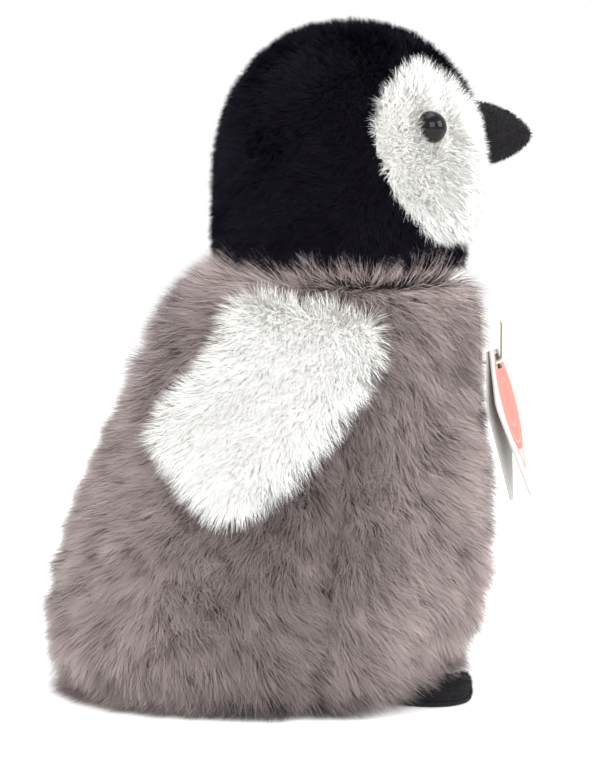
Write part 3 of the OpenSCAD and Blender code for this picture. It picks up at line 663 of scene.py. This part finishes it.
flipper_nodes = [f"flipper_{s}_{p}" for s in ("left", "right") for p in ("outer", "lining")]
foot_nodes = [f"foot_{s}_{p}" for s in ("left", "right") for p in ("upper", "sole")]
tag_nodes = ["tag_loop", "tag_back_leaf", "tag_front_leaf"]
body_neighbours, _ = tree_of(flipper_nodes + foot_nodes + tag_nodes)
RANGE_SHARES = (0, 0.25, 0.5, 0.75, 1)
swung = {"foot_left_swing": foot_nodes[:2], "foot_right_swing": foot_nodes[2:], "tag_swing": tag_nodes[1:]}
sweeps = [tree_of(pieces, [turn_at(joint, share) for share in RANGE_SHARES])[0]
          for joint, pieces in swung.items()]
rest_gap = 0.4 * MM
swing_gap = 1.6 * MM
body_clears = [(body_neighbours, rest_gap), *((tree, swing_gap) for tree in sweeps)]
print("moving neighbours of the body's fur:", len(sweeps))


def along_surface(direction, out):
    """The part of a direction that lies in the cloth."""
    return direction - out * (out * direction).sum(axis=1, keepdims=True)


def turned_about(v, out, angle):
    c, s = np.cos(angle)[:, None], np.sin(angle)[:, None]
    return v * c + np.cross(out, v) * s


# %% The body's roots and their habits
body_roots, body_up, row_at, col_at = sow(body_rings, 6.5)
height = body_roots[:, 2].copy()
root_angle = (col_at / BODY_COLS * 2 * math.pi + math.pi) % (2 * math.pi) - math.pi
side_row = row_at - len(BASE_SHARES)
from_seam = np.min([np.abs((root_angle - s + math.pi) % (2 * math.pi) - math.pi)
                    for s in (side_seam, -side_seam)], axis=0)
front = np.cos(root_angle)
collar = ease(height, neck_z - 12 * MM, neck_z - 3 * MM)
low_sweep = 1 - ease(height, 25 * MM, 60 * MM)
sweep = 0.45 * (1 - low_sweep) * ease(-front, -0.5, 0.3) - 0.75 * low_sweep * ease(-np.abs(front), -0.9, -0.4)
lay = -Z * (1 - 1.9 * collar)[:, None] + BACK * sweep[:, None]
lay = unit(along_surface(np.broadcast_to(lay, body_roots.shape), body_up))
wander = 0.26 * ripple(body_roots, 34 * MM, 3) + 0.24 * ripple(body_roots, 9 * MM, 4)
lay = turned_about(lay, body_up, wander)
lean = 0.62 + 0.14 * ripple(body_roots, 15 * MM, 5)
lay = lay * lean[:, None]
body_length = 10.5 * MM * (1 + 0.10 * ripple(body_roots, 8 * MM, 6) + 0.08 * dice.normal(size=len(height)))
body_length *= 1 + 0.1 * low_sweep + 0.12 * ease(-front, 0.2, 0.8) + 0.24 * ease(front, 0.2, 0.8)
body_length *= 1 - 0.35 * np.exp(-((from_seam / 0.045) ** 2)) * (1 - collar)
# The body's tone: a slow random swell, and much paler at the collar. Painted light makes it paler low down.
# Painted shade makes the sides, where the flippers hang, much darker than the front and back.
body_tone_and_painted_shade = 0.35 * ripple(body_roots, 13 * MM, 8) + 0.5 * low_sweep + 3.4 * collar
body_tone_and_painted_shade += 1.9 * ease(np.abs(front), 0.2, 0.7) - 1.8
on_base = side_row < -0.4
print("body roots:", len(height), "of them under the body:", int(on_base.sum()))

# %% Coats of the body panels
strip = (side_row >= -0.999) & (side_row < 0.6)
body_length[side_row < -0.999] *= 0.33
body_length[strip] *= 1.15
outward = unit(body_roots - np.array(rump_middle)) * np.array([1, 1, 0])
spread = 0.5 + 1.2 * (1 - ease(-front, 0.2, 0.8))
lay[side_row < -0.5] = (outward * spread[:, None] - Z * 0.5)[side_row < -0.5]
grounded = np.full(len(height), floor_z)
panels = {
    "base_pile": side_row < 0,
    "belly_pile": (side_row >= 0) & (np.abs(root_angle) < side_seam),
    "side_pile_left": (side_row >= 0) & (root_angle >= side_seam),
    "side_pile_right": (side_row >= 0) & (root_angle <= -side_seam),
}
panel_nodes = {"base_pile": "base_panel", "belly_pile": "belly_panel",
               "side_pile_left": "body_side_left", "side_pile_right": "body_side_right"}
for name, mine in panels.items():
    low_part = mine & (height < 45 * MM)
    high_part = mine & (height >= 85 * MM)
    for part, chosen in (("_low", low_part), ("", mine & ~low_part & ~high_part), ("_high", high_part)):
        if not chosen.any():
            continue
        coat = fur(name + part, body_roots[chosen], body_up[chosen], lay[chosen], body_length[chosen],
                   body_tone_and_painted_shade[chosen], grey_pile, "plush_body", near=body_clears,
                   ground=grounded[chosen], tuft=2.2 * MM, gather=0.26)
        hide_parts(panel_nodes[name])
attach(body_cloth, "plush_body")
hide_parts("body_stuffing")

# %% [markdown]
# ## Head fur
# The black pile is half as long as the grey and half as dense again, so the head looks like
# velvet with a nap. The face patches' pile is as short, and radiates from between the eye and
# the beak, so its tips lie over the black at the edge.
# %% Eye and beak places
eye_axis, eye_apex = {}, {}
for side in ("left", "right"):
    washer_low, washer_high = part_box(f"eye_washer_{side}")
    washer = (washer_low + washer_high) / 2
    points = [v.co for v in frame["nodes"][f"eye_{side}"].data.vertices]
    eye_apex[side] = max(points, key=lambda p: (p - washer).length).copy()
    eye_axis[side] = (eye_apex[side] - washer).normalized()
beak_low, beak_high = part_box("beak_cover")
beak_root = Vector((0, beak_high.y, (beak_low.z + beak_high.z) / 2))
eye_radius = 5 * MM
head_neighbours, _ = tree_of(["eye_left", "eye_right", "beak_cover"])
head_clears = [(head_neighbours, rest_gap)]
print("eyes at, mm:", {s: [round(v / MM, 1) for v in p] for s, p in eye_apex.items()})

# %% The head's roots
head_roots, head_up, tilt_row, _ = sow(head_rings, 9.0)
head_up[tilt_row < 1] = unit(head_up[tilt_row < 1] * np.array([1, 1, 0]))
panel = []
for root, up in zip(head_roots, head_up):
    hit = head_tree.ray_cast(Vector(root + up * 25 * MM), Vector(-up), 40 * MM)
    panel.append(head_owner[hit[2]] if hit[2] is not None else "")
panel = np.array(panel)
white = np.isin(panel, FACE_PANELS)
clear_of_eye = np.ones(len(head_roots), bool)
for side in ("left", "right"):
    rel = head_roots - np.array(eye_apex[side])
    axis = np.array(eye_axis[side])
    off_axis = np.linalg.norm(rel - axis * (rel @ axis)[:, None], axis=1)
    clear_of_eye &= (off_axis > eye_radius - 0.6 * MM) | (np.abs(rel @ axis) > 20 * MM)
off_beak = np.hypot(head_roots[:, 0], head_roots[:, 2] - beak_root.z)
clear_of_beak = (off_beak > 8.6 * MM) | (head_roots[:, 1] > head_core.y)
kept = clear_of_eye & clear_of_beak
print("head roots:", len(panel), "white:", int(white.sum()))

# %% Coats of the head
head_lay = along_surface(np.broadcast_to(-Z * 0.8 + BACK * 0.7, head_roots.shape), head_up)
head_lay = turned_about(unit(head_lay), head_up, 0.45 * ripple(head_roots, 22 * MM, 11)
                        + 0.3 * ripple(head_roots, 7 * MM, 12)) * 0.55
head_length = 5.6 * MM * (1 + 0.08 * ripple(head_roots, 5 * MM, 13)
                          + 0.07 * dice.normal(size=len(head_roots)))
head_tint = 0.8 * ripple(head_roots, 10 * MM, 14)
black_panels = {
    "crown_pile": ["head_crown"], "chin_pile": ["chin"],
    "cheek_pile_left": ["cheek_left"], "cheek_pile_right": ["cheek_right"],
    "nape_pile_left": ["head_back_left"], "nape_pile_right": ["head_back_right"],
}
for name, nodes in black_panels.items():
    mine = kept & np.isin(panel, nodes)
    coat = fur(name, head_roots[mine], head_up[mine], head_lay[mine], head_length[mine], head_tint[mine],
               black_pile, "plush_body", near=head_clears, tuft=2.2 * MM, gather=0.4, wild=0.2)
    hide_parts(*nodes)
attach(head_cloth, "plush_body")
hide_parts("head_stuffing")

# %% Coats of the face
for side in ("left", "right"):
    mine = kept & (panel == f"face_{side}")
    roots, up = head_roots[mine], head_up[mine]
    heart = (np.array(eye_apex[side]) * 0.55 + np.array(beak_root) * 0.45)
    away = roots - heart
    lay_out = unit(along_surface(away, up))
    lay_out = turned_about(lay_out, up, 0.2 * ripple(roots, 9 * MM, 15)) * 0.42
    grown = 5.6 * MM * (1 + 0.08 * ripple(roots, 6 * MM, 16) + 0.07 * dice.normal(size=len(roots)))
    coat = fur(f"face_pile_{side}", roots, up, lay_out, grown, 0.6 * ripple(roots, 8 * MM, 17), white_pile,
               "plush_body", near=head_clears, tuft=1.5 * MM, gather=0.08,
               wild=0.12, soft=0.95)
    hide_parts(f"face_{side}")

# %% [markdown]
# ## Flippers
# A flipper is a flat bag of two white panels round a thin pad. The pad's CAD solid gives the
# cloth form: it is remeshed, rounded and swollen a little. Its fur points to the tip, and at the
# rim it stands out all round, which is what makes the soft edge.
# %% A padded flipper
def remeshed(name, node, voxel):
    """A new closed piece over a CAD solid, with even faces."""
    copy = frame["nodes"][node].data.copy()
    copy.materials.clear()
    piece = bpy.data.objects.new(name, copy)
    bpy.context.scene.collection.objects.link(piece)
    even = piece.modifiers.new("even", "REMESH")
    even.mode = "VOXEL"
    even.voxel_size = voxel
    rounder = piece.modifiers.new("rounder", "SMOOTH")
    rounder.factor, rounder.iterations = 0.5, 4
    done = bpy.data.meshes.new_from_object(piece.evaluated_get(bpy.context.evaluated_depsgraph_get()))
    piece.modifiers.clear()
    old, piece.data = piece.data, done
    bpy.data.meshes.remove(old)
    done.name = name
    done.polygons.foreach_set("use_smooth", [True] * len(done.polygons))
    return piece


def sow_on_mesh(piece, per_mm2):
    """Random roots on any mesh: their places and smooth normals."""
    mesh = piece.data
    mesh.calc_loop_triangles()
    co = np.array([v.co for v in mesh.vertices])
    vn = np.array([v.normal for v in mesh.vertices])
    tri = np.array([t.vertices for t in mesh.loop_triangles])
    a, b, c = co[tri[:, 0]], co[tri[:, 1]], co[tri[:, 2]]
    area = np.linalg.norm(np.cross(b - a, c - a), axis=1) / 2
    count = np.floor(area / MM**2 * per_mm2 + dice.random(len(area))).astype(int)
    pick = np.repeat(np.arange(len(tri)), count)
    u, v = dice.random(len(pick)), dice.random(len(pick))
    over = u + v > 1
    u[over], v[over] = 1 - u[over], 1 - v[over]
    w = np.stack([1 - u - v, u, v], axis=1)[..., None]
    return (co[tri[pick]] * w).sum(axis=1), unit((vn[tri[pick]] * w).sum(axis=1))


for side, sign in (("left", 1), ("right", -1)):
    pad = remeshed(f"flipper_pad_{side}", f"flipper_{side}_wadding", 2.2 * MM)
    plump(pad, [], pressure=1.5, steps=6, most=0.8 * MM)
    pad.data.materials.append(white_backing)
    roots, up = sow_on_mesh(pad, 13.0)
    tip_way = Vector((0, 0.55, -1)).normalized()
    lay_tip = along_surface(np.broadcast_to(np.array(tip_way), roots.shape), up)
    lay_tip = turned_about(unit(lay_tip), up, 0.2 * ripple(roots, 14 * MM, 21))
    facing_out = up[:, 0] * sign
    lay_tip *= (0.25 + 0.3 * ease(facing_out, 0.3, 0.8))[:, None]
    grown = 7.6 * MM * (1 + 0.08 * ripple(roots, 7 * MM, 22) + 0.07 * dice.normal(size=len(roots)))
    grown *= 0.45 + 0.55 * ease(facing_out, -0.5, 0.1) - 0.25 * ease(facing_out, 0.5, 0.9)
    tint = 0.5 * ripple(roots, 10 * MM, 23)
    outer = facing_out > -0.1
    for part, mine in (("outer", outer), ("lining", ~outer)):
        coat = fur(f"flipper_{part}_pile_{side}", roots[mine], up[mine], lay_tip[mine], grown[mine],
                   tint[mine], white_pile, f"flipper_{side}", tuft=1.5 * MM,
                   gather=0.08, roll=0.35, soft=0.95, wild=0.1)
        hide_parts(f"flipper_{side}_{part}")
    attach(pad, f"flipper_{side}")
    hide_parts(f"flipper_{side}_wadding")
    print(f"flipper {side}: {len(roots)} roots on its pad")

# %% [markdown]
# ## Eyes
# Each eye is one polished dome on a shank. The dome is turned like a button on a lathe, with a
# dark brown rim and a black middle under a clear gloss, and a small step at its edge.
# %% The eyes
def eye_finish():
    material, nodes, links, shader = plain_finish("eye_gloss", 0.1, 0.0, specular=0.2)
    place = nodes.new("ShaderNodeUVMap")
    place.uv_map = "OFBake"
    split = nodes.new("ShaderNodeSeparateXYZ")
    ramp = ramp_node(nodes, [(0.0, (0.003, 0.003, 0.004)), (0.55, (0.004, 0.003, 0.004)),
                             (0.75, (0.012, 0.006, 0.004)), (1.0, (0.008, 0.004, 0.003))])
    links.new(place.outputs["UV"], split.inputs[0])
    links.new(split.outputs["Y"], ramp.inputs[0])
    links.new(ramp.outputs["Color"], shader.inputs["Base Color"])
    return material


eye_gloss = eye_finish()
for side in ("left", "right"):
    axis, apex = eye_axis[side], eye_apex[side]
    turn = axis.to_track_quat("Z", "Y").to_matrix()
    cols, profile = 48, []
    for k in range(1, 15):
        bend = math.radians(k * 6)
        profile.append((eye_radius * math.sin(bend), eye_radius * (math.cos(bend) - 1), k / 15))
    profile += [(eye_radius * 0.985, -eye_radius * 1.02, 0.97), (eye_radius * 0.8, -eye_radius * 1.1, 1.0)]
    spokes = [(math.cos(2 * math.pi * j / cols), math.sin(2 * math.pi * j / cols)) for j in range(cols)]
    points = [apex + turn @ Vector((r * c, r * s, h)) for r, h, _ in profile for c, s in spokes]
    points.append(apex.copy())
    faces = [tuple(reversed(f)) for f in ring_faces(len(profile), cols, True)]
    dome = new_piece(f"eye_dome_{side}", points, faces)
    layer = dome.data.uv_layers.new(name="OFBake")
    for loop in dome.data.loops:
        i = loop.vertex_index
        v = profile[i // cols][2] if i < len(profile) * cols else 0.0
        layer.data[loop.index].uv = ((i % cols + 0.5) / cols, 0.02 + 0.96 * v)
    dome.data.materials.append(eye_gloss)
    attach(dome, "plush_body")
    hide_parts(f"eye_{side}")
    print(f"eye dome {side}: {len(points)} points")

# %% [markdown]
# ## Beak and feet
# Both are velour: a knitted cloth with a nap under two millimetres. The CAD solids have the right
# shape, but flat facets, so each is copied, subdivided and given a nap of very short strands.
# %% Velour pieces
def rounded(name, node, levels=2):
    copy = frame["nodes"][node].data.copy()
    copy.materials.clear()
    piece = bpy.data.objects.new(name, copy)
    bpy.context.scene.collection.objects.link(piece)
    weld = piece.modifiers.new("weld", "WELD")
    weld.merge_threshold = 0.05 * MM
    softer = piece.modifiers.new("softer", "SUBSURF")
    softer.levels = softer.render_levels = levels
    done = bpy.data.meshes.new_from_object(piece.evaluated_get(bpy.context.evaluated_depsgraph_get()))
    piece.modifiers.clear()
    old, piece.data = piece.data, done
    bpy.data.meshes.remove(old)
    done.name = name
    done.polygons.foreach_set("use_smooth", [True] * len(done.polygons))
    return piece


velour_backing = backing_finish("velour_backing", (0.012, 0.010, 0.013), (0.004, 0.004, 0.005), 1400)
velour_pieces = [("beak_velour", "beak_cover", "plush_body")]
velour_pieces += [(f"foot_{p}_velour_{s}", f"foot_{s}_{p}", f"foot_{s}")
                  for s in ("left", "right") for p in ("upper", "sole")]
for name, node, body in velour_pieces:
    piece = rounded(name, node, 1)
    piece.data.materials.append(velour_backing)
    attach(piece, body)
    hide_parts(node)
    low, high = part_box(node)
    centre = np.array((low + high) / 2)
    roots, up = sow_on_mesh(piece, 9.0)
    outside = ((roots - centre) * up).sum(axis=1) > 0
    roots, up = roots[outside] - up[outside] * 0.3 * MM, up[outside]
    nap_lay = turned_about(unit(along_surface(np.broadcast_to(-Z + BACK * -0.4, roots.shape), up)), up,
                           0.8 * ripple(roots, 6 * MM, 31)) * 0.5
    nap = 1.3 * MM * (1 + 0.25 * dice.normal(size=len(roots)))
    if "sole" in name:
        nap *= 0.5
    fur(f"{name}_nap", roots, up, nap_lay, np.abs(nap), 0.8 * ripple(roots, 5 * MM, 32), velour_pile, body,
        tuft=1.2 * MM, gather=0.25, wild=0.35,
        ground=np.full(len(roots), floor_z))

# %% [markdown]
# ## Swing tag
# The tag is a folded card on a ribbon loop. Its leaves are flat in the CAD model too, so the CAD
# nodes stay and only get paint: a plain oval with two fine rings, and a thin line along the
# lower edges. No words are drawn on it.
# %% Card finish
tag_turn = math.radians(22)
tag_tilt = {"tag_front_leaf": math.radians(15), "tag_back_leaf": math.radians(8)}
tag_joint = next(j for j in frame["joints"] if j["name"] == "tag_open")
fold = Vector(tag_joint["pos_m"])
tag_length = 48 * MM
tag_width = 32 * MM


def math_node(nodes, links, kind, a, b=None, c=None):
    node = nodes.new("ShaderNodeMath")
    node.operation = kind
    for socket, value in zip(node.inputs, (a, b, c)):
        if value is None:
            continue
        if isinstance(value, (int, float)):
            socket.default_value = value
        else:
            links.new(value, socket)
    return node.outputs[0]


def card_finish(name, leaf, printed):
    material, nodes, links, shader = plain_finish(name, 0.45, 0.0, specular=0.4)
    place = nodes.new("ShaderNodeTexCoord")
    flat = nodes.new("ShaderNodeMapping")
    flat.vector_type = "TEXTURE"
    flat.inputs["Location"].default_value = fold
    flat.inputs["Rotation"].default_value = (math.pi / 2 - tag_tilt[leaf], 0, -tag_turn)
    split = nodes.new("ShaderNodeSeparateXYZ")
    fibres = nodes.new("ShaderNodeTexNoise")
    fibres.inputs["Scale"].default_value = 700
    card = ramp_node(nodes, [(0.3, (0.44, 0.425, 0.40)), (0.7, (0.50, 0.485, 0.46))])
    links.new(place.outputs["Object"], flat.inputs["Vector"])
    links.new(flat.outputs["Vector"], split.inputs[0])
    links.new(place.outputs["Object"], fibres.inputs["Vector"])
    links.new(fibres.outputs["Fac"], card.inputs[0])
    if not printed:
        links.new(card.outputs["Color"], shader.inputs["Base Color"])
        return material
    across, down, through = split.outputs
    def op(kind, *args):
        return math_node(nodes, links, kind, *args)
    ex = op("DIVIDE", across, 9.6 * MM)
    ey = op("DIVIDE", op("ADD", down, 17.0 * MM), 15.6 * MM)
    reach = op("SQRT", op("ADD", op("MULTIPLY", ex, ex), op("MULTIPLY", ey, ey)))
    oval = op("LESS_THAN", reach, 1.0)
    ring = op("COMPARE", reach, 0.84, 0.022)
    inner = op("COMPARE", reach, 0.5, 0.02)
    slope = (tag_length * 0.64) / (tag_width / 2)
    edge = op("SUBTRACT", op("MULTIPLY", op("ABSOLUTE", across), slope),
              op("ADD", down, tag_length - 9.5 * MM))
    line = op("MULTIPLY", op("COMPARE", edge, 0.0, 0.9 * MM), op("LESS_THAN", down, -21 * MM))
    front = op("GREATER_THAN", through, 0.0)
    def paint(below, colour, where):
        mix = nodes.new("ShaderNodeMix")
        mix.data_type = "RGBA"
        links.new(where, mix.inputs["Factor"])
        links.new(below, mix.inputs["A"])
        mix.inputs["B"].default_value = (*colour, 1)
        return mix.outputs["Result"]
    colour = paint(card.outputs["Color"], (0.50, 0.15, 0.12), op("MULTIPLY", oval, front))
    colour = paint(colour, (0.56, 0.30, 0.22), op("MULTIPLY", op("MAXIMUM", ring, inner), front))
    colour = paint(colour, (0.46, 0.16, 0.14), op("MULTIPLY", line, front))
    links.new(colour, shader.inputs["Base Color"])
    return material


for leaf, printed in (("tag_front_leaf", True), ("tag_back_leaf", False)):
    node = frame["nodes"][leaf]
    node.data.materials.clear()
    node.data.materials.append(card_finish(f"card_{leaf[4:]}", leaf, printed))
loop = frame["nodes"]["tag_loop"]
loop.data.materials.clear()
loop.data.materials.append(backing_finish("loop_ribbon_weave", (0.82, 0.76, 0.64), (0.70, 0.64, 0.52), 1500))
print("fold of the tag, mm:", [round(v / MM, 1) for v in fold])

# %% [markdown]
# ## What is inside
# The washers, the pouch of granules and the filling of the small parts can't be seen from
# outside. They stay as CAD nodes, with a plain finish that fits what they are.
# %% Hidden pieces, floor, and the end
inside_finish = {
    "eye_washer_left": ("washer_nylon", (0.85, 0.85, 0.83), (0.78, 0.78, 0.76)),
    "eye_washer_right": ("washer_nylon", (0.85, 0.85, 0.83), (0.78, 0.78, 0.76)),
    "pellet_pouch": ("pouch_cotton", (0.72, 0.66, 0.55), (0.6, 0.54, 0.44)),
    "beak_stuffing": ("loose_fibre", (0.93, 0.92, 0.9), (0.84, 0.83, 0.8)),
    "foot_left_stuffing": ("loose_fibre", (0.93, 0.92, 0.9), (0.84, 0.83, 0.8)),
    "foot_right_stuffing": ("loose_fibre", (0.93, 0.92, 0.9), (0.84, 0.83, 0.8)),
}
for node, (name, colour, deep) in inside_finish.items():
    finish = bpy.data.materials.get(name) or backing_finish(name, colour, deep, 600)
    frame["nodes"][node].data.materials.clear()
    frame["nodes"][node].data.materials.append(finish)

floor = new_piece("studio_floor", [(-3, -3, 0), (3, -3, 0), (3, 3, 0), (-3, 3, 0)], [(0, 1, 2, 3)])
floor_finish, _, _, floor_shader = plain_finish("studio_paper", 0.95, 0.0, specular=0.1)
floor_shader.inputs["Base Color"].default_value = (0.97, 0.97, 0.97, 1)
floor.data.materials.append(floor_finish)
floor.location.z = floor_z - 0.2 * MM
